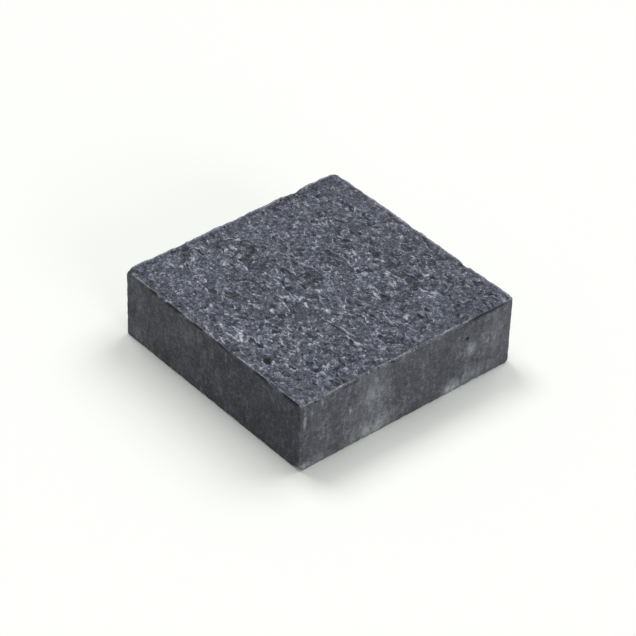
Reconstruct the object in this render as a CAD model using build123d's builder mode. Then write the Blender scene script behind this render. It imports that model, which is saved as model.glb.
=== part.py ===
import os
from math import pi, sin

from build123d import *

# A square concrete paver, pressed as one block, with a riven top and lightly worn edges.
# Millimetres. The origin is the centre of the bed face, which lies on Z = 0, and +Z is up.
# West faces -X, south faces -Y, east faces +X and north faces +Y.

# Block
side_x = 200.0
side_y = 200.0
height = 60.0  # bed face to the level of the highest ridges
upright_radius = 2.5  # the four upright edges, as the mould rounds them
top_arris_radius = 1.6
bed_arris_bevel = 0.6

# Riven top
relief_depth = 1.2  # highest ridge to deepest hollow
ridge_share = 0.65  # part of that depth due to the ridges, the rest to the swell
ridge_spacing = 32.0  # from one ridge to the next
ridge_sway = 6.0  # how far a ridge wanders from side to side
sway_run = 130.0  # length of one such bend of a ridge
swell_run = 120.0  # from one crest of the slow diagonal swell to the next
section_step = 18.0  # spacing of the sections that the top is shaped from
point_step = 8.0  # spacing of the points along one section
overrun = 12.0  # how far the sections run out past the sides before trimming

# Corners knocked off in handling: corner, top or bed, and how far the facet reaches
# along X, along Y and up or down the corner
knocks = [
    ("north", "west", "top", 7.0, 9.0, 5.0),
    ("south", "west", "bed", 5.0, 12.0, 4.0),
    ("south", "west", "top", 4.0, 4.5, 3.5),
    ("south", "east", "top", 3.5, 5.0, 3.0),
    ("north", "east", "top", 6.0, 4.5, 5.5),
    ("north", "east", "bed", 8.0, 6.0, 5.0),
    ("south", "east", "bed", 5.0, 4.0, 3.0),
]

# Chips scooped out of the arrises: side, top or bed, share of the side from its west or
# south end, length along the arris and depth
chips = [
    ("west", "top", 0.78, 20.0, 1.5),
    ("west", "top", 0.62, 12.0, 1.3),
    ("west", "top", 0.40, 24.0, 1.5),
    ("west", "top", 0.16, 24.0, 1.5),
    ("south", "top", 0.09, 13.0, 1.6),
    ("south", "top", 0.30, 46.0, 1.9),
    ("south", "top", 0.57, 40.0, 2.2),
    ("south", "top", 0.74, 16.0, 1.5),
    ("east", "top", 0.26, 12.0, 2.6),
    ("east", "top", 0.55, 26.0, 1.6),
    ("east", "top", 0.83, 14.0, 1.4),
    ("north", "top", 0.24, 22.0, 1.6),
    ("north", "top", 0.55, 13.0, 1.4),
    ("north", "top", 0.79, 24.0, 1.6),
    ("west", "bed", 0.54, 7.0, 1.2),
    ("south", "bed", 0.82, 9.0, 1.3),
    ("east", "bed", 0.35, 14.0, 1.6),
    ("north", "bed", 0.60, 10.0, 1.4),
]

# Blowholes: share of the top from west to east and from south to north, width and depth
top_blowholes = [
    (0.07, 0.27, 5.5, 1.2),
    (0.47, 0.59, 5.0, 1.0),
    (0.92, 0.50, 5.5, 0.9),
]
# The same in the south face: share from west to east, level above the bed, width, depth
south_blowholes = [
    (0.78, 42.0, 4.0, 1.3),
]

facings = {
    "west": Vector(-1, 0, 0),
    "south": Vector(0, -1, 0),
    "east": Vector(1, 0, 0),
    "north": Vector(0, 1, 0),
    "top": Vector(0, 0, 1),
    "bed": Vector(0, 0, -1),
}


def riven_level(x, y):
    """Level of the riven top above the bed: swaying ridges on a slow diagonal swell."""
    sway = ridge_sway * sin(2 * pi * y / sway_run)
    ridge = sin(2 * pi * (x + sway) / ridge_spacing)
    swell = sin(2 * pi * (x / 2 + y) / swell_run)
    rise = ridge_share * ridge + (1 - ridge_share) * swell
    return height - relief_depth * (1 - rise) / 2


def spread(side, step):
    """Evenly spaced places across a side, and past it by the overrun at both ends."""
    reach = side / 2 + overrun
    count = max(4, round(2 * reach / step))
    return [-reach + 2 * reach * i / count for i in range(count + 1)]


def on_block(x_share, y_share, level):
    """A point of the block, by its shares from west to east and from south to north."""
    x = (x_share - 0.5) * side_x
    y = (y_share - 0.5) * side_y
    if level == "bed":
        return Vector(x, y, 0)
    return Vector(x, y, riven_level(x, y))


def knock_plane(y_side, x_side, level, reach_x, reach_y, reach_z):
    """Plane of the facet that a knock leaves at a corner, facing outwards."""
    out = facings[x_side] / reach_x + facings[y_side] / reach_y + facings[level] / reach_z
    x_share = 0.5 + facings[x_side].X / 2
    y_share = 0.5 + facings[y_side].Y / 2
    corner = on_block(x_share, y_share, level)
    return Plane(origin=corner - facings[level] * reach_z, z_dir=out)


def scoop(mouth, outwards, length, depth):
    """Ball that leaves a hollow of this length and depth round a point of the surface."""
    radius = (length**2 / 4 + depth**2) / (2 * depth)
    centre = mouth + outwards.normalized() * (radius - depth)
    return Pos(*centre) * Sphere(radius)


def chip(side, level, share, length, depth):
    """Ball that scoops a chip out of an arris."""
    outwards = facings[side] + facings[level]
    along_x = side in ("south", "north")
    x_share = share if along_x else 0.5 + outwards.X / 2
    y_share = 0.5 + outwards.Y / 2 if along_x else share
    return scoop(on_block(x_share, y_share, level), outwards, length, depth)


def top_blowhole(x_share, y_share, width, depth):
    """Ball that leaves a blowhole in the riven top."""
    return scoop(on_block(x_share, y_share, "top"), facings["top"], width, depth)


def face_blowhole(x_share, level, width, depth):
    """Ball that leaves a blowhole in the south face."""
    mouth = Vector((x_share - 0.5) * side_x, -side_y / 2, level)
    return scoop(mouth, facings["south"], width, depth)


hollows = [chip(*sizes) for sizes in chips]
hollows += [top_blowhole(*sizes) for sizes in top_blowholes]
hollows += [face_blowhole(*sizes) for sizes in south_blowholes]

with BuildPart() as paver:
    # Upright sections from south to north, each with the riven line as its upper edge
    places = spread(side_x, point_step)
    for y in spread(side_y, section_step):
        with BuildSketch(Plane.XZ.offset(-y)):
            with BuildLine():
                riven_line = [(x, riven_level(x, y)) for x in places]
                add(Edge.make_spline(riven_line, parameters=places))
                Polyline(riven_line[0], (places[0], 0), (places[-1], 0), riven_line[-1])
            make_face()
    loft()

    # Trimmed to the mould's outline
    with BuildSketch():
        RectangleRounded(side_x, side_y, upright_radius)
    extrude(amount=height + relief_depth, mode=Mode.INTERSECT)

    # Arrises as they leave the mould and the handling
    riven_face = paver.faces().sort_by(Axis.Z)[-1]
    fillet(riven_face.edges(), top_arris_radius)
    bed_face = paver.faces().sort_by(Axis.Z)[0]
    chamfer(bed_face.edges(), bed_arris_bevel)

    # Wear and casting faults
    for sizes in knocks:
        split(bisect_by=knock_plane(*sizes), keep=Keep.BOTTOM)
    add(hollows, mode=Mode.SUBTRACT)

paver.part.label = "paver"
os.makedirs("parts", exist_ok=True)
export_step(paver.part, "parts/paver.step")
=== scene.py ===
import math

import bpy
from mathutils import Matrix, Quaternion, Vector
from mathutils.bvhtree import BVHTree
from mathutils.geometry import delaunay_2d_cdt


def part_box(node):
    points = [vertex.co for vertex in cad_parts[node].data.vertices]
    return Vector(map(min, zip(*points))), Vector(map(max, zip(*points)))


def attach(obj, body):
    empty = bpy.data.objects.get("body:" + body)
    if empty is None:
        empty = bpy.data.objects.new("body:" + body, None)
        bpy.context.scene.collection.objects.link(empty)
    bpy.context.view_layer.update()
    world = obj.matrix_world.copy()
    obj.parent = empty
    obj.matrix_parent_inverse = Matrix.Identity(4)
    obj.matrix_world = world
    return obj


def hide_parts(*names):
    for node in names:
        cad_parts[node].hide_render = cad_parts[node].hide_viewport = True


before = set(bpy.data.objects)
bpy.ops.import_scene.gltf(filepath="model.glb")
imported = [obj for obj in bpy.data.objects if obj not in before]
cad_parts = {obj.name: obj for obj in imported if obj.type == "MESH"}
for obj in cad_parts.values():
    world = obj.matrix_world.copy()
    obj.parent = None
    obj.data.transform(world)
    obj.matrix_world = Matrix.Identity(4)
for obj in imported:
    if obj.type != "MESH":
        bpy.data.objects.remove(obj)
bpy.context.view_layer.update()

# Paver
# One pressed block of charcoal-pigmented concrete. Its top is riven: low wandering ridges
# over a grainy ground. Its sides are as smooth as the steel mould, with lime bloom on them.
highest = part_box("paver")[1]
half_x = highest.x  # from the middle to the east face, and to the west face
half_y = highest.y  # from the middle to the north face, and to the south face
top_level = highest.z

COLUMNS = 222  # steps from point to point along a side
TOP_ROWS = (0.0, 0.0006, 0.0013, 0.0021, 0.003, 0.004, 0.0052, 0.0066)  # below the top
BED_ROWS = (0.0055, 0.0038, 0.0024, 0.0012, 0.0)  # above the bed
MIDDLE_ROWS = 26
BED_RINGS = ((0.0012, 0.0018), (0.0035, 0.003), (0.0075, 0.0045))  # inset and spacing
BED_STEP = 0.0055  # spacing of the points inside those rings
INSIDE_ONLY = 1  # no triangles beyond the rim of the bed
SAME_POINT = 1e-7  # points closer than this are one


def rim(count):
    """Points round a square from -1 to 1, this many a side, from its south-west corner."""
    steps = [i / count for i in range(count)]
    south = [(-1 + 2 * s, -1) for s in steps]
    east = [(1, -1 + 2 * s) for s in steps]
    north = [(1 - 2 * s, 1) for s in steps]
    west = [(-1, 1 - 2 * s) for s in steps]
    return south + east + north + west


def side_levels():
    """Levels of the rows of points down the sides, closer together at both edges."""
    above = [top_level - down for down in TOP_ROWS]
    below = list(BED_ROWS)
    gap = (above[-1] - below[0]) / (MIDDLE_ROWS + 1)
    middle = [above[-1] - gap * (i + 1) for i in range(MIDDLE_ROWS)]
    return above + middle + below


def top_grid():
    """Points and faces of a flat grid over the top, and its rim from the south-west corner."""
    step_x, step_y = 2 * half_x / COLUMNS, 2 * half_y / COLUMNS
    width = COLUMNS + 1
    points = []
    for j in range(width):
        points += [(-half_x + i * step_x, -half_y + j * step_y, top_level) for i in range(width)]
    faces = []
    for j in range(COLUMNS):
        row = range(j * width, j * width + COLUMNS)
        faces += [(a, a + 1, a + 1 + width, a + width) for a in row]
    south = list(range(COLUMNS))
    east = [j * width + COLUMNS for j in range(COLUMNS)]
    north = [COLUMNS * width + COLUMNS - i for i in range(COLUMNS)]
    west = [(COLUMNS - j) * width for j in range(COLUMNS)]
    return points, faces, south + east + north + west


def bed_points(ring):
    """The bed's points, and its triangles between them: fine at the rim, wider inside."""
    points = [Vector(point[:2]) for point in ring]
    for inset, spacing in BED_RINGS:
        reach_x, reach_y = half_x - inset, half_y - inset
        count = round(2 * reach_x / spacing)
        points += [Vector((x * reach_x, y * reach_y)) for x, y in rim(count)]
    inset = BED_RINGS[-1][0] + BED_STEP
    reach_x, reach_y = half_x - inset, half_y - inset
    count = round(2 * reach_x / BED_STEP)
    shares = [2 * i / count - 1 for i in range(count + 1)]
    points += [Vector((x * reach_x, y * reach_y)) for x in shares for y in shares]
    edges = [(i, (i + 1) % len(ring)) for i in range(len(ring))]
    found = delaunay_2d_cdt(points, edges, [], INSIDE_ONLY, SAME_POINT)
    return found[0], found[2]


def block_mesh():
    """A closed grid of points over the whole block, to be laid on the solid's surface."""
    points, faces, upper = top_grid()
    corners = rim(COLUMNS)
    for level in side_levels()[1:]:
        lower = list(range(len(points), len(points) + len(corners)))
        points += [(x * half_x, y * half_y, level) for x, y in corners]
        for k in range(len(corners)):
            after = (k + 1) % len(corners)
            faces.append((upper[k], lower[k], lower[after], upper[after]))
        upper = lower
    ring = [points[k] for k in upper]
    places, triangles = bed_points(ring)
    inside = places[len(ring):]
    numbers = upper + list(range(len(points), len(points) + len(inside)))
    points += [(place.x, place.y, 0.0) for place in inside]
    faces += [tuple(numbers[k] for k in reversed(triangle)) for triangle in triangles]
    mesh = bpy.data.meshes.new("paver_block")
    mesh.from_pydata(points, [], faces)
    mesh.validate()
    return mesh


def laid_on(mesh, solid):
    """Moves each point of the grid to the nearest point of the solid's surface."""
    corners = [v.co.copy() for v in solid.data.vertices]
    triangles = [tuple(p.vertices) for p in solid.data.polygons]
    surface = BVHTree.FromPolygons(corners, triangles)
    for vertex in mesh.vertices:
        vertex.co = surface.find_nearest(vertex.co)[0]
    mesh.update()


block = block_mesh()
laid_on(block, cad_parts["paver"])
for face in block.polygons:
    face.use_smooth = True
paver = bpy.data.objects.new("worn_paver", block)
bpy.context.collection.objects.link(paver)


def add_node(tree, kind, inputs=(), **settings):
    """A node of a tree, with its settings and its inputs as values or as links."""
    made = tree.nodes.new(kind)
    for name, value in settings.items():
        setattr(made, name, value)
    for key, value in inputs:
        if isinstance(value, bpy.types.NodeSocket):
            tree.links.new(value, made.inputs[key])
        else:
            made.inputs[key].default_value = value
    return made


def maths(tree, operation, *values):
    """The result of one operation of arithmetic on the values."""
    made = add_node(tree, "ShaderNodeMath", enumerate(values), operation=operation)
    return made.outputs[0]


def product(tree, *values):
    """All the values multiplied together."""
    result = values[0]
    for value in values[1:]:
        result = maths(tree, "MULTIPLY", result, value)
    return result


def total(tree, *values):
    """All the values added together."""
    result = values[0]
    for value in values[1:]:
        result = maths(tree, "ADD", result, value)
    return result


def largest(tree, *values):
    """The largest of the values, at each point."""
    result = values[0]
    for value in values[1:]:
        result = maths(tree, "MAXIMUM", result, value)
    return result


def left_over(tree, share):
    """What a share leaves of 1."""
    return maths(tree, "SUBTRACT", 1.0, share)


def weighted(tree, *parts):
    """Values added together, each times its own weight."""
    result = product(tree, *parts[0])
    for value, weight in parts[1:]:
        result = maths(tree, "MULTIPLY_ADD", value, weight, result)
    return result


def fade(tree, value, start, end, low=0.0, high=1.0):
    """Smoothly from low, where value is at start, to high, where it is at end."""
    inputs = [("Value", value), ("From Min", start), ("From Max", end)]
    inputs += [("To Min", low), ("To Max", high)]
    made = add_node(tree, "ShaderNodeMapRange", inputs, interpolation_type="SMOOTHSTEP")
    return made.outputs["Result"]


def stretched(tree, vector, factors):
    """The vector with each axis multiplied, so that a pattern on it is drawn out."""
    inputs = [(0, vector), (1, factors)]
    return add_node(tree, "ShaderNodeVectorMath", inputs, operation="MULTIPLY").outputs[0]


def moved(tree, vector, offset):
    """The vector with an offset added to it."""
    return add_node(tree, "ShaderNodeVectorMath", [(0, vector), (1, offset)]).outputs[0]


def noise_node(tree, vector, size, seed, detail, roughness):
    """Noise whose features are about this size in metres."""
    fixed = not isinstance(size, bpy.types.NodeSocket)
    scale = 1 / size if fixed else maths(tree, "DIVIDE", 1.0, size)
    inputs = [("Vector", vector), ("W", seed), ("Scale", scale)]
    inputs += [("Detail", detail), ("Roughness", roughness)]
    return add_node(tree, "ShaderNodeTexNoise", inputs, noise_dimensions="4D")


def noise(tree, vector, size, seed, detail=3.0, roughness=0.5):
    """One value of such noise, from 0 to 1."""
    return noise_node(tree, vector, size, seed, detail, roughness).outputs[0]


def drift(tree, vector, size, seed, reach, detail):
    """An offset that wanders from place to place: such noise along each axis, times a reach."""
    three = noise_node(tree, vector, size, seed, detail, 0.5).outputs["Color"]
    return stretched(tree, moved(tree, three, (-0.5, -0.5, -0.5)), reach)


def cloud(tree, place, centre, reach, core):
    """1 round a centre, out to the core, fading to 0 at its reach along X, Y and Z."""
    away = stretched(tree, moved(tree, place, [-c for c in centre]), [1 / r for r in reach])
    length = add_node(tree, "ShaderNodeVectorMath", [(0, away)], operation="LENGTH")
    return fade(tree, length.outputs["Value"], 1.0, core)


def dots(tree, place, spacing, chosen, size, seed=None):
    """Dots this far apart, in some cells only: which, and a dot's outer and inner size."""
    inputs = [("Vector", place), ("Scale", 1 / spacing)]
    if seed is not None:
        inputs.append(("W", seed))
    dimensions = "3D" if seed is None else "4D"
    cells = add_node(tree, "ShaderNodeTexVoronoi", inputs, voronoi_dimensions=dimensions).outputs
    some = fade(tree, cells["Color"], *chosen)
    return product(tree, fade(tree, cells["Distance"], *size), some)


RIDGE_SPACING = 0.0085
GRAIN_SIZE = 0.0026
RIVEN_SEED = 4.0
SWAY_LENGTH = 0.04  # size of the long bends of a ridge
SWAY = (0.014, 0.014, 0.0)
TREMBLE_LENGTH = 0.0035  # size of its small bends
TREMBLE = (0.0036, 0.0036, 0.0)
TORN_PATCH = 0.035
TORN_MIDDLE = ((-0.012, 0.005, 0.0), (0.125, 0.125, 1.0))  # centre and reach
BREAK_SIZE = 0.007  # breaks in the thin lips
GAP_SIZE = 0.013  # gaps in the main ridges


def lip(tree, place, size, seed, start, end):
    """The noise that a lip is drawn from, and the lip: steep at one side, gentle at the other."""
    lines = noise(tree, place, size, seed, detail=2.0)
    steep = fade(tree, lines, start, 0.5)
    gentle = fade(tree, lines, end, 0.5)
    return lines, product(tree, steep, gentle)


def sandy_grain(tree, flat, swaying, grain_size, seed):
    """Sand-like lumps of their own height, over uneven ground."""
    ground = noise(tree, flat, grain_size, seed, detail=4.0, roughness=0.65)
    inputs = [("Vector", swaying), ("Scale", maths(tree, "DIVIDE", 0.75, grain_size))]
    inputs.append(("Smoothness", 0.35))
    lumps = add_node(tree, "ShaderNodeTexVoronoi", inputs, feature="SMOOTH_F1")
    lump = fade(tree, lumps.outputs["Color"], 0.15, 0.85)
    return weighted(tree, (lump, 0.4), (fade(tree, ground, 0.3, 0.7), 0.6))


def main_ridges(tree, swaying, spacing, seed, middle, grain):
    """A few main ridges that run on along Y, broken up by the grain, and their hollows."""
    drawn = stretched(tree, swaying, (1.0, 0.2, 1.0))
    apart = product(tree, spacing, 2.0)
    lines, ridge = lip(tree, drawn, apart, total(tree, seed, 9.0), 0.488, 0.522)
    gaps = noise(tree, swaying, GAP_SIZE, total(tree, seed, 6.0), detail=2.0)
    kept = product(tree, fade(tree, gaps, 0.4, 0.5), middle)
    ridge = product(tree, ridge, kept, fade(tree, grain, 0.2, 0.6, 0.35, 1.0))
    under = product(tree, fade(tree, lines, 0.462, 0.476), fade(tree, lines, 0.495, 0.484))
    return ridge, product(tree, under, kept, 0.5)


def thin_lips(tree, swaying, spacing, seed, breaks, torn):
    """Thin lips drawn out along Y, and the hollow under the steep side of each."""
    drawn = stretched(tree, swaying, (1.0, 0.45, 1.0))
    lines, ridge = lip(tree, drawn, spacing, seed, 0.47, 0.56)
    kept = fade(tree, maths(tree, "MULTIPLY_ADD", torn, 0.09, breaks), 0.48, 0.62)
    under = product(tree, fade(tree, lines, 0.38, 0.45), fade(tree, lines, 0.49, 0.46))
    return product(tree, ridge, kept), product(tree, under, kept)


def short_lips(tree, swaying, spacing, seed, breaks):
    """Short lips, every way round, where the thin ones break off."""
    apart = product(tree, spacing, 0.45)
    ridge = lip(tree, swaying, apart, total(tree, seed, 2.0), 0.45, 0.57)[1]
    return product(tree, ridge, fade(tree, breaks, 0.6, 0.4, 0.1, 0.75))


def riven_pattern(tree, place, ridge_spacing, grain_size, seed):
    """Ridges, the hollows beside them and the grain of the riven top, each from 0 to 1."""
    flat = stretched(tree, place, (1.0, 1.0, 0.0))
    sway = drift(tree, flat, SWAY_LENGTH, seed, SWAY, detail=1.0)
    tremble = drift(tree, flat, TREMBLE_LENGTH, seed, TREMBLE, detail=2.0)
    swaying = moved(tree, moved(tree, flat, sway), tremble)

    # Where the top was torn harder: in patches, and more in the middle than at the rim
    patches = noise(tree, flat, TORN_PATCH, total(tree, seed, 7.0), detail=2.0)
    torn = fade(tree, patches, 0.38, 0.62)
    middle = cloud(tree, flat, *TORN_MIDDLE, core=0.6)
    breaks = noise(tree, swaying, BREAK_SIZE, total(tree, seed, 5.0), detail=2.0)

    grain = sandy_grain(tree, flat, swaying, grain_size, seed)
    main_ridge, main_hollow = main_ridges(tree, swaying, ridge_spacing, seed, middle, grain)
    thin_lip, thin_hollow = thin_lips(tree, swaying, ridge_spacing, seed, breaks, torn)
    short_lip = short_lips(tree, swaying, ridge_spacing, seed, breaks)

    hollow = largest(tree, main_hollow, thin_hollow)
    lesser = product(tree, largest(tree, thin_lip, short_lip), 0.85)
    calmer = fade(tree, middle, 0.0, 0.8, 0.6, 1.0)
    ridge = product(tree, largest(tree, main_ridge, lesser), calmer)
    return ridge, hollow, grain


# Lengths of the top arris that have crumbled away from under its edge: centre and reach
CRUMBLED = (
    ((-0.1, 0.067, 0.06), (0.01, 0.005, 0.01)),
    ((-0.1, 0.048, 0.06), (0.01, 0.007, 0.01)),
    ((-0.1, 0.017, 0.06), (0.01, 0.009, 0.01)),
    ((-0.1, -0.014, 0.06), (0.01, 0.010, 0.01)),
    ((-0.1, -0.056, 0.06), (0.01, 0.010, 0.01)),
    ((-0.1, -0.088, 0.06), (0.01, 0.011, 0.01)),
    ((-0.085, -0.1, 0.06), (0.004, 0.01, 0.01)),
    ((0.074, -0.1, 0.06), (0.022, 0.01, 0.01)),
)
CRUMBLE_LENGTH = 0.009  # size of the others


def crumbled(tree, place, seed):
    """Where the top arris has crumbled, from 0 to 1: in these lengths and a few others."""
    lengths = noise(tree, place, CRUMBLE_LENGTH, total(tree, seed, 11.0), detail=3.0, roughness=0.6)
    others = fade(tree, lengths, 0.46, 0.36)
    placed = [cloud(tree, place, centre, reach, core=0.6) for centre, reach in CRUMBLED]
    return largest(tree, others, *placed)


# Blowholes left by air in the mix: centre, reach and strength. The first three and the last
# are wider, deeper mouths for holes of the solid, and the others are only here.
BLOWHOLES = (
    ((-0.086, -0.046, 0.06), (0.0034, 0.0044, 0.01), 1.0),
    ((-0.006, 0.018, 0.06), (0.0021, 0.0021, 0.01), 0.6),
    ((0.084, 0.0, 0.06), (0.0023, 0.0023, 0.01), 0.6),
    ((-0.066, -0.075, 0.06), (0.0018, 0.0024, 0.01), 0.7),
    ((-0.055, -0.073, 0.06), (0.0020, 0.0018, 0.01), 0.5),
    ((-0.020, -0.087, 0.06), (0.0017, 0.0024, 0.01), 0.6),
    ((-0.046, -0.029, 0.06), (0.0016, 0.0030, 0.01), 0.6),
    ((0.056, -0.1, 0.042), (0.0020, 0.01, 0.0020), 1.0),
)


def blowholes(tree, place):
    """Above 0 in the blowholes, up to their strength, and 0 elsewhere."""
    holes = []
    for centre, reach, strength in BLOWHOLES:
        holes.append(product(tree, cloud(tree, place, centre, reach, core=0.55), strength))
    return largest(tree, *holes)


RELIEF_SIZES = {
    "Ridge height": 0.0007,
    "Ridge spacing": RIDGE_SPACING,
    "Grain height": 0.0006,
    "Grain size": GRAIN_SIZE,
    "Pit depth": 0.0008,
    "Arris wear": 0.0011,
    "Blowhole depth": 0.0009,
    "Arris undercut": 0.0007,
    "Mould marks": 0.00012,
    "Seed": RIVEN_SEED,
}
PIT_SPACING = 0.011
TOP_EDGE_REACH = 0.0042  # how far the wear of an edge reaches over the surface
UPRIGHT_EDGE_REACH = 0.003
BED_EDGE_REACH = 0.0022
CRUMB_SIZE = 0.0055
UNDERCUT_START = (0.0003, 0.0009)  # below the top: where an undercut comes in
UNDERCUT_END = (0.0052, 0.0028)  # and where it goes out again
MARK_WIDTH = 0.004
MARK_DRAW = (1.0, 1.0, 0.06)  # drawn out up and down the sides


def relief_inputs(tree):
    """What the relief is given: the block, its sizes and the material that it is made of."""
    face = tree.interface
    face.new_socket("Geometry", in_out="INPUT", socket_type="NodeSocketGeometry")
    face.new_socket("Geometry", in_out="OUTPUT", socket_type="NodeSocketGeometry")
    for name, value in RELIEF_SIZES.items():
        socket = face.new_socket(name, in_out="INPUT", socket_type="NodeSocketFloat")
        socket.default_value = value
    face.new_socket("Material", in_out="INPUT", socket_type="NodeSocketMaterial")
    return tree.nodes.new("NodeGroupInput").outputs


def riven_cut(tree, place, given):
    """How deep the riven top is cut, and the pits in it, where a grain has come out."""
    sizes = (given["Ridge spacing"], given["Grain size"], given["Seed"])
    ridge, hollow, grain = riven_pattern(tree, place, *sizes)
    pit = dots(tree, place, PIT_SPACING, (0.72, 0.78), (0.17, 0.05), seed=given["Seed"])
    ridge_cut = product(tree, left_over(tree, ridge), given["Ridge height"])
    grain_cut = product(tree, left_over(tree, grain), given["Grain height"])
    pit_cut = product(tree, largest(tree, pit, hollow), given["Pit depth"])
    return total(tree, ridge_cut, grain_cut, pit_cut), pit


def edges_of(tree, from_x, from_y, from_top, level):
    """The top, upright and bed edges, each 1 at the edge and 0 at its reach."""
    from_side = maths(tree, "MINIMUM", from_x, from_y)
    top_edge = fade(tree, largest(tree, from_side, from_top), TOP_EDGE_REACH, 0.0)
    upright_edge = fade(tree, largest(tree, from_x, from_y), UPRIGHT_EDGE_REACH, 0.0)
    bed_edge = fade(tree, largest(tree, from_side, level), BED_EDGE_REACH, 0.0)
    return top_edge, upright_edge, bed_edge


def riven_relief():
    """Node tree that cuts the riven top, the worn edges and the mould's marks."""
    tree = bpy.data.node_groups.new("Riven relief", "GeometryNodeTree")
    given = relief_inputs(tree)
    seed = given["Seed"]
    place = tree.nodes.new("GeometryNodeInputPosition").outputs[0]
    facing = tree.nodes.new("GeometryNodeInputNormal").outputs[0]
    up = add_node(tree, "ShaderNodeSeparateXYZ", [(0, facing)]).outputs[2]
    riven = fade(tree, up, 0.35, 0.8)
    bed = fade(tree, up, -0.35, -0.8)

    # The riven top, and on the sides the faint drag marks of the mould as it is lifted off
    top_cut, pit = riven_cut(tree, place, given)
    top_cut = product(tree, riven, top_cut)
    upright = stretched(tree, place, MARK_DRAW)
    marks = noise(tree, upright, MARK_WIDTH, seed, detail=4.0, roughness=0.65)
    side_cut = product(tree, marks, given["Mould marks"])
    side_cut = product(tree, left_over(tree, riven), side_cut, left_over(tree, bed))

    # Edges crumbled in handling, most of all the top ones
    x, y, z = add_node(tree, "ShaderNodeSeparateXYZ", [(0, place)]).outputs
    from_x = maths(tree, "SUBTRACT", half_x, maths(tree, "ABSOLUTE", x))
    from_y = maths(tree, "SUBTRACT", half_y, maths(tree, "ABSOLUTE", y))
    from_top = maths(tree, "SUBTRACT", top_level, z)
    top_edge, upright_edge, bed_edge = edges_of(tree, from_x, from_y, from_top, z)
    crumbs = noise(tree, place, CRUMB_SIZE, total(tree, seed, 3.0), detail=4.0)
    crumble = fade(tree, crumbs, 0.42, 0.72)
    lesser = product(tree, largest(tree, upright_edge, bed_edge), 0.55)
    wear_cut = product(tree, largest(tree, top_edge, lesser), crumble, given["Arris wear"])

    # Lengths where the top arris has also broken away from under its edge
    starts = fade(tree, from_top, *UNDERCUT_START)
    below = product(tree, starts, fade(tree, from_top, *UNDERCUT_END))
    gone = product(tree, crumbled(tree, place, seed), below, fade(tree, up, 0.6, 0.3))
    wear_cut = maths(tree, "MULTIPLY_ADD", gone, given["Arris undercut"], wear_cut)

    cut = total(tree, side_cut, top_cut, wear_cut)
    cut = maths(tree, "MULTIPLY_ADD", blowholes(tree, place), given["Blowhole depth"], cut)
    inputs = [(0, facing), ("Scale", cut)]
    outwards = add_node(tree, "ShaderNodeVectorMath", inputs, operation="SCALE").outputs[0]
    inwards = stretched(tree, outwards, (-1.0, -1.0, -1.0))

    # What the material reads
    kept = {
        "pit": pit,
        "slope": up,
        "crumble": crumble,
        "top_arris": top_edge,
        "upright_edge": upright_edge,
        "bed_edge": bed_edge,
        "undercut": gone,
    }
    geometry = given["Geometry"]
    for name, field in kept.items():
        inputs = [("Geometry", geometry), ("Name", name), ("Value", field)]
        kind = "GeometryNodeStoreNamedAttribute"
        geometry = add_node(tree, kind, inputs, data_type="FLOAT", domain="POINT").outputs[0]

    inputs = [("Geometry", geometry), ("Offset", inwards)]
    geometry = add_node(tree, "GeometryNodeSetPosition", inputs).outputs[0]
    geometry = add_node(tree, "GeometryNodeRealizeInstances", [(0, geometry)]).outputs[0]
    inputs = [("Geometry", geometry), ("Material", given["Material"])]
    geometry = add_node(tree, "GeometryNodeSetMaterial", inputs).outputs[0]
    add_node(tree, "NodeGroupOutput", [(0, geometry)])
    return tree


concrete = bpy.data.materials.new("charcoal_concrete")
concrete.use_nodes = True


def attribute(tree, name):
    """A value that the relief left at each point."""
    return add_node(tree, "ShaderNodeAttribute", attribute_name=name).outputs["Fac"]


def mixed(tree, share, first, second):
    """The first colour, with this share of it turned to the second."""
    inputs = [(0, share), (6, first), (7, second)]
    return add_node(tree, "ShaderNodeMix", inputs, data_type="RGBA").outputs[2]


def grey(level, blue=0.0):
    """A near-neutral colour, a little bluer where blue is above 0."""
    return (level * (1 - blue * 0.5), level * (1 - blue * 0.2), level * (1 + blue), 1.0)


def ramp(tree, value, stops):
    """A colour for each value, from a short list of (place, colour) stops."""
    made = add_node(tree, "ShaderNodeValToRGB", [(0, value)])
    shades = made.color_ramp.elements
    while len(shades) < len(stops):
        shades.new(0.5)
    for shade, (where, colour) in zip(shades, stops):
        shade.position = where
        shade.color = colour
    return made.outputs[0]


# Greys of the riven top, from the bottoms of its hollows to what stands out most: painted shade in
# the hollows and painted highlight on the ridges, over the concrete's own greys
TOP_GREYS_SHADE_AND_HIGHLIGHT = (
    (0.15, grey(0.024, 0.16)),
    (0.36, grey(0.07, 0.26)),
    (0.52, grey(0.112, 0.26)),
    (0.7, grey(0.23, 0.2)),
    (0.95, grey(0.58, 0.07)),
)
# Greys of the mould skin on the sides
SIDE_SHADES = (
    (0.4, grey(0.051, 0.18)),
    (0.515, grey(0.1015, 0.14)),
    (0.6, grey(0.21, 0.09)),
)
# What lies on those greys
LIME = (0.50, 0.545, 0.56, 1.0)
BARE_SAND = grey(0.46, 0.1)
SKIN_SAND = grey(0.4, 0.03)
PALE_GRAIN = grey(0.32, 0.06)
DARK_GRAIN = grey(0.03, 0.1)
# Painted shade in the pinholes
PINHOLE_SHADE = grey(0.02, 0.0)
# Painted shade inside the blowholes
BLOWHOLE_SHADE = grey(0.01, 0.1)
TOP_RUB = grey(0.24, 0.12)
# Pale line on the top arris: partly rubbed wear, partly painted highlight
RUBBED_LINE_AND_HIGHLIGHT = grey(0.42, 0.1)
# Painted shade under the top arris, where it crumbled away
UNDERCUT_SHADE = grey(0.012, 0.1)
UPRIGHT_RUB = grey(0.44, 0.04)
BED_RUB = grey(0.36, 0.03)
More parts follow.
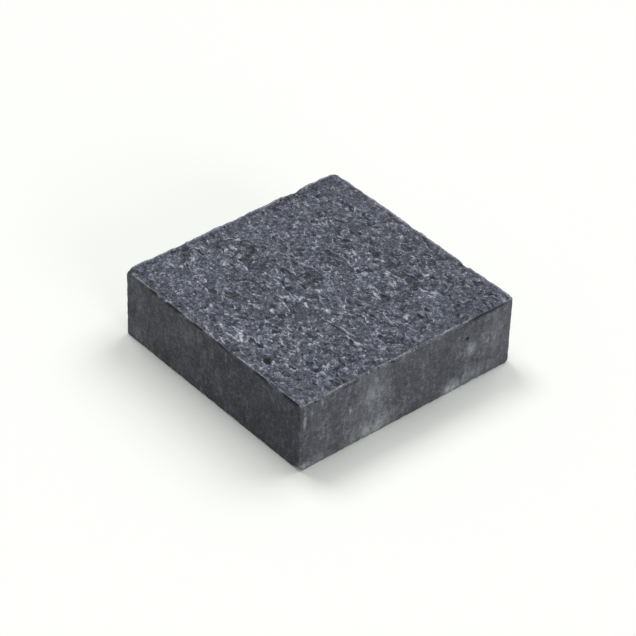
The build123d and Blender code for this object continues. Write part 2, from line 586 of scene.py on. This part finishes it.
# Sizes of the patterns in the colour
FINE_SAND = 0.0013
SAND_SPACING = 0.0017
GRIT = 0.0028
PINHOLE_SPACING = 0.0045
BLOTCH = 0.005
VEIL = 0.006
MOTTLE = 0.02
STREAK = 0.0024
WIDE_STREAK = 0.009
LIME_STREAK = 0.005
UPRIGHT_STREAKS = (1.0, 1.0, 0.3)  # drawn out up and down the sides
ROUGHNESS_SIZE = 0.0009
ROUGHNESS_HEIGHT = 0.0005

# Lime bloom, in clouds on the sides: centre, reach and strength
BLOOMS = (
    ((-0.034, -0.1, 0.006), (0.034, 0.008, 0.017), 0.85),
    ((-0.034, -0.1, 0.032), (0.022, 0.008, 0.036), 0.42),
    ((-0.086, -0.1, 0.002), (0.024, 0.008, 0.010), 0.5),
    ((-0.095, -0.1, 0.004), (0.008, 0.010, 0.005), 1.1),
    ((0.044, -0.1, 0.004), (0.014, 0.008, 0.010), 1.4),
    ((0.062, -0.1, 0.006), (0.026, 0.008, 0.014), 0.5),
    ((0.0605, -0.1, 0.032), (0.007, 0.008, 0.010), 0.75),
    ((0.086, -0.1, 0.034), (0.022, 0.008, 0.036), 0.27),
    ((-0.1, 0.052, 0.030), (0.008, 0.050, 0.060), 0.13),
    ((-0.1, 0.086, 0.008), (0.008, 0.034, 0.018), 0.3),
    ((-0.1, 0.086, 0.044), (0.008, 0.022, 0.024), 0.2),
    ((0.1, -0.020, 0.016), (0.008, 0.040, 0.026), 0.7),
    ((0.1, 0.066, 0.044), (0.008, 0.020, 0.014), 0.5),
    ((0.015, 0.1, 0.026), (0.036, 0.008, 0.028), 0.7),
)

# Stretches of the sides painted darker: centre, reach and strength
DARKER = (
    ((-0.1, -0.075, 0.03), (0.012, 0.09, 0.09), 0.036),
    ((0.022, -0.1, 0.03), (0.042, 0.012, 0.07), 0.022),
)

# Lime that has run down the sides, in thin broken drips: centre and reach
DRIPS = (
    ((-0.0965, -0.1, 0.045), (0.0020, 0.008, 0.017)),
    ((-0.0905, -0.1, 0.050), (0.0017, 0.008, 0.010)),
    ((-0.0810, -0.1, 0.054), (0.0021, 0.008, 0.005)),
    ((-0.0545, -0.1, 0.031), (0.0020, 0.008, 0.009)),
    ((0.0765, -0.1, 0.034), (0.0017, 0.008, 0.009)),
    ((0.0785, -0.1, 0.008), (0.0021, 0.008, 0.007)),
    ((-0.1, -0.001, 0.047), (0.008, 0.0020, 0.010)),
    ((-0.1, -0.017, 0.050), (0.008, 0.0018, 0.007)),
    ((-0.1, 0.011, 0.002), (0.008, 0.0026, 0.005)),
    ((-0.1, -0.017, 0.002), (0.008, 0.0022, 0.004)),
    ((0.1, 0.030, 0.048), (0.008, 0.0021, 0.010)),
    ((-0.040, 0.1, 0.050), (0.0020, 0.008, 0.008)),
)
DRIP_BEND = 0.005  # size of the bends of a drip
DRIP_SHAKE = (0.0016, 0.0016, 0.0)  # how far it strays from a straight line


def riven_colour(tree, stands, grain, speck):
    """Top: painted shade in the hollows, a paler and bluer painted highlight on what stands out,
    and pale sand grains.
    """
    colour = ramp(tree, stands, TOP_GREYS_SHADE_AND_HIGHLIGHT)
    shown = fade(tree, grain, 0.25, 0.7, 0.15, 0.7)
    return mixed(tree, product(tree, speck, shown), colour, BARE_SAND)


def skin_colour(tree, place, fine, middling, mottle, speck, pore):
    """Sides: mould skin in upright streaks and soft blotches, with sand, and painted shade in the
    pinholes.
    """
    upright = stretched(tree, place, UPRIGHT_STREAKS)
    streak = noise(tree, upright, STREAK, seed=5.0, detail=4.0, roughness=0.6)
    wide_streak = noise(tree, upright, WIDE_STREAK, seed=6.0, detail=3.0, roughness=0.55)
    grit = noise(tree, place, GRIT, seed=4.0, detail=2.0, roughness=0.6)
    parts = [(mottle, 0.19), (streak, 0.2), (wide_streak, 0.15), (middling, 0.15)]
    parts += [(grit, 0.24), (fine, 0.1)]
    for centre, reach, strength in DARKER:
        parts.append((cloud(tree, place, centre, reach, core=0.0), -strength))
    colour = ramp(tree, weighted(tree, *parts), SIDE_SHADES)
    colour = mixed(tree, fade(tree, fine, 0.52, 0.76, 0.0, 0.6), colour, PALE_GRAIN)
    colour = mixed(tree, fade(tree, fine, 0.46, 0.24, 0.0, 0.6), colour, DARK_GRAIN)
    colour = mixed(tree, product(tree, speck, 0.22), colour, SKIN_SAND)
    # Painted shade in the pinholes
    return mixed(tree, product(tree, pore, 0.6), colour, PINHOLE_SHADE)


def lime_bloom(tree, place, mottle, veil):
    """How much lime there is: clouds, broken up by a veil and by the streaks, and drips."""
    upright = stretched(tree, place, UPRIGHT_STREAKS)
    runs = noise(tree, upright, LIME_STREAK, seed=12.0, detail=4.0)
    clouds = [fade(tree, mottle, 0.58, 0.8, 0.0, 0.25)]
    for centre, reach, strength in BLOOMS:
        clouds.append(product(tree, cloud(tree, place, centre, reach, core=0.0), strength))
    patchy = fade(tree, veil, 0.34, 0.62, 0.25, 1.0)
    streaky = fade(tree, runs, 0.36, 0.6, 0.3, 1.0)
    bloom = product(tree, largest(tree, *clouds), product(tree, patchy, streaky))
    shake = drift(tree, place, DRIP_BEND, seed=3.5, reach=DRIP_SHAKE, detail=2.0)
    shaken = moved(tree, place, shake)
    drips = [cloud(tree, shaken, centre, reach, core=0.15) for centre, reach in DRIPS]
    drip = product(tree, largest(tree, *drips), fade(tree, veil, 0.4, 0.6, 0.03, 0.5))
    return largest(tree, bloom, drip)


def worn_top_arris(tree, place, colour, slope, fine):
    """A broken pale line on the top arris, rubbed and partly a painted highlight, and painted shade
    where it crumbled under it.
    """
    top_arris = attribute(tree, "top_arris")
    rub = product(tree, top_arris, fade(tree, attribute(tree, "crumble"), 0.1, 0.9, 0.1, 0.5))
    colour = mixed(tree, rub, colour, TOP_RUB)
    # A painted highlight on the upper part of the arris, over a rubbed line
    whole = fade(tree, crumbled(tree, place, RIVEN_SEED), 0.8, 0.2, 0.25, 1.0)
    upper = fade(tree, slope, 0.3, 0.55)
    line = fade(tree, top_arris, 0.45, 0.8)
    lit = product(tree, upper, line, fade(tree, fine, 0.35, 0.6), whole)
    colour = mixed(tree, product(tree, lit, 0.75), colour, RUBBED_LINE_AND_HIGHLIGHT)
    # Painted shade where the arris crumbled away from under its edge
    under = product(tree, attribute(tree, "undercut"), 0.92)
    return mixed(tree, under, colour, UNDERCUT_SHADE)


def rubbed_edges(tree, place, colour, slope, fine, rubbed):
    """Pale rubs: on the upright edges, least at south-west and north-east, and at the bed."""
    x, y = add_node(tree, "ShaderNodeSeparateXYZ", [(0, place)]).outputs[:2]
    across = maths(tree, "ABSOLUTE", maths(tree, "SUBTRACT", x, y))
    edge = fade(tree, attribute(tree, "upright_edge"), 0.25, 0.8)
    edge = product(tree, edge, fade(tree, rubbed, 0.4, 0.54), fade(tree, slope, 0.8, 0.4))
    edge = product(tree, edge, fade(tree, across, 0.05, 0.15, 0.14, 0.7))
    edge = product(tree, edge, fade(tree, fine, 0.36, 0.58, 0.25, 1.0))
    colour = mixed(tree, edge, colour, UPRIGHT_RUB)
    toe = product(tree, attribute(tree, "bed_edge"), fade(tree, rubbed, 0.53, 0.62), 0.55)
    return mixed(tree, toe, colour, BED_RUB)


def finish_concrete():
    """Riven charcoal top with painted shade and highlight, plainer moulded sides, pale worn edges
    partly painted highlight, painted shade in holes, and lime bloom.
    """
    tree = concrete.node_tree
    tree.nodes.clear()
    place = tree.nodes.new("ShaderNodeTexCoord").outputs["Object"]
    slope = attribute(tree, "slope")
    fine = noise(tree, place, FINE_SAND, seed=2.0, detail=4.0, roughness=0.7)
    middling = noise(tree, place, BLOTCH, seed=3.0, detail=3.0, roughness=0.6)
    mottle = noise(tree, place, MOTTLE, seed=6.0, detail=4.0, roughness=0.6)
    veil = noise(tree, place, VEIL, seed=9.0, detail=5.0, roughness=0.7)
    speck = dots(tree, place, SAND_SPACING, (0.68, 0.78), (0.45, 0.28))
    pore = dots(tree, place, PINHOLE_SPACING, (0.66, 0.7), (0.2, 0.1))

    # How far each point of the top stands out of its hollows, which also sets the top's painted
    # shade and painted highlight
    sizes = (RIDGE_SPACING, GRAIN_SIZE, RIVEN_SEED)
    ridge, hollow, grain = riven_pattern(tree, place, *sizes)
    parts = [(grain, 0.53), (ridge, 0.4), (fade(tree, fine, 0.3, 0.7), 0.27)]
    # Pits and hollows darken the top: painted shade
    parts.append((largest(tree, attribute(tree, "pit"), hollow), -0.2))
    parts.append((maths(tree, "SUBTRACT", mottle, 0.5), 0.08))
    stands = weighted(tree, *parts)

    # The sides meet the top along a ragged line
    top = riven_colour(tree, stands, grain, speck)
    side = skin_colour(tree, place, fine, middling, mottle, speck, pore)
    bloom = lime_bloom(tree, place, mottle, veil)
    side = mixed(tree, product(tree, bloom, 0.95), side, LIME)
    uneven = maths(tree, "SUBTRACT", middling, 0.5)
    riven = fade(tree, maths(tree, "MULTIPLY_ADD", uneven, 1.2, slope), 0.45, 0.65)
    colour = mixed(tree, riven, side, top)

    # Worn edges, partly painted highlight, and painted shade inside the blowholes
    colour = worn_top_arris(tree, place, colour, slope, fine)
    rubbed = weighted(tree, (veil, 0.4), (middling, 0.6))
    colour = rubbed_edges(tree, place, colour, slope, fine, rubbed)
    colour = mixed(tree, product(tree, blowholes(tree, place), 0.93), colour, BLOWHOLE_SHADE)

    bumps = noise(tree, place, ROUGHNESS_SIZE, seed=1.0, detail=3.0, roughness=0.6)
    bumps = maths(tree, "MULTIPLY_ADD", pore, -1.0, bumps)
    bumps = maths(tree, "MULTIPLY_ADD", riven, product(tree, stands, 1.8), bumps)
    inputs = [("Strength", 0.7), ("Distance", ROUGHNESS_HEIGHT), ("Height", bumps)]
    bump = add_node(tree, "ShaderNodeBump", inputs).outputs[0]
    roughness = fade(tree, riven, 0.0, 1.0, 0.72, 0.84)
    inputs = [("Base Color", colour), ("Roughness", roughness), ("Normal", bump)]
    inputs.append(("Specular IOR Level", 0.4))
    shader = add_node(tree, "ShaderNodeBsdfPrincipled", inputs)
    add_node(tree, "ShaderNodeOutputMaterial", [("Surface", shader.outputs[0])])


finish_concrete()
relief = paver.modifiers.new("Riven relief", "NODES")
relief.node_group = riven_relief()
for item in relief.node_group.interface.items_tree:
    if item.in_out == "INPUT" and item.name == "Material":
        relief[item.identifier] = concrete
baked = bpy.data.meshes.new_from_object(
    paver.evaluated_get(bpy.context.evaluated_depsgraph_get())
)
paver.modifiers.clear()
paver.data = baked
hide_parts("paver")
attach(paver, "root")

# Floor
# A seamless sheet of white paper under the paver. It is lit like the paver and keeps the
# paver's shadow; the camera sees it a little paler than it is, so that open paper is white.
FLOOR_REACH = 6.0
FLOOR_LEVEL = -0.00005  # just under the bed, so that the two faces don't coincide
PAPER = (0.5, 0.5, 0.5, 1.0)
PAPER_SEEN = (0.92, 0.94, 0.9, 1.0)

floor_mesh = bpy.data.meshes.new("floor")
corners = [(x * FLOOR_REACH, y * FLOOR_REACH, 0) for x, y in rim(1)]
floor_mesh.from_pydata(corners, [], [(0, 1, 2, 3)])
floor = bpy.data.objects.new("floor", floor_mesh)
bpy.context.collection.objects.link(floor)
floor.location.z = FLOOR_LEVEL
paper = bpy.data.materials.new("white_paper")
paper.use_nodes = True
tree = paper.node_tree
tree.nodes.clear()
seen = tree.nodes.new("ShaderNodeLightPath").outputs["Is Camera Ray"]
matt = add_node(tree, "ShaderNodeBsdfDiffuse", [("Color", mixed(tree, seen, PAPER, PAPER_SEEN))])
add_node(tree, "ShaderNodeOutputMaterial", [("Surface", matt.outputs[0])])
floor_mesh.materials.append(paper)

# Light
# Two softboxes high up, one off the east face and one off the north face, a low fill off
# the south face, and pale surroundings that the camera sees as plain white.
HORIZON_STRENGTH = 0.188
OVERHEAD_STRENGTH = 0.437
WHITE_STRENGTH = 1.0
LAMP_DISTANCE = 2.0

world = bpy.data.worlds.new("studio")
bpy.context.scene.world = world
world.use_nodes = True
tree = world.node_tree
tree.nodes.clear()
seen = tree.nodes.new("ShaderNodeLightPath").outputs["Is Camera Ray"]
direction = tree.nodes.new("ShaderNodeTexCoord").outputs["Generated"]
height = add_node(tree, "ShaderNodeSeparateXYZ", [(0, direction)]).outputs[2]
pale = fade(tree, height, 0.0, 1.0, HORIZON_STRENGTH, OVERHEAD_STRENGTH)
strength = add_node(tree, "ShaderNodeMix", [(0, seen), (2, pale), (3, WHITE_STRENGTH)])
sky = add_node(tree, "ShaderNodeBackground", [("Strength", strength.outputs[0])])
add_node(tree, "ShaderNodeOutputWorld", [("Surface", sky.outputs[0])])


def lamp(name, azimuth, elevation, strength, spread):
    """A distant soft lamp in this direction, in degrees: azimuth 0 is south, 90 is east."""
    data = bpy.data.lights.new(name, "SUN")
    data.energy = strength
    data.angle = math.radians(spread)
    made = bpy.data.objects.new(name, data)
    bpy.context.collection.objects.link(made)
    a, e = math.radians(azimuth), math.radians(elevation)
    towards = Vector((math.sin(a) * math.cos(e), -math.cos(a) * math.cos(e), math.sin(e)))
    made.rotation_mode = "QUATERNION"
    made.rotation_quaternion = towards.to_track_quat("Z", "Y")
    made.location = towards * LAMP_DISTANCE


lamp("side_softbox", azimuth=92, elevation=53, strength=1.4, spread=45)
lamp("back_softbox", azimuth=178, elevation=60, strength=1.31, spread=27)
lamp("front_fill", azimuth=-2, elevation=10, strength=1.35, spread=40)

# Camera
# It stands where the photograph was taken from, turned to the paver, with a longer lens.
CAMERA_PLACE = Vector((-1.1127, -1.2677, 1.3489))
CAMERA_AIM = Vector((0.0, 0.0, 0.027))
CAMERA_ROLL = math.radians(1.9)
LENS = 166.0

camera_data = bpy.data.cameras.new("camera")
camera_data.lens = LENS
camera_data.clip_start = 0.05
camera_data.clip_end = 50.0
camera = bpy.data.objects.new("camera", camera_data)
bpy.context.collection.objects.link(camera)
camera.rotation_mode = "QUATERNION"
camera.location = CAMERA_PLACE
level = (CAMERA_PLACE - CAMERA_AIM).to_track_quat("Z", "Y")
camera.rotation_quaternion = level @ Quaternion((0, 0, 1), CAMERA_ROLL)
bpy.context.scene.camera = camera

scene = bpy.context.scene
scene.view_settings.view_transform = "Standard"
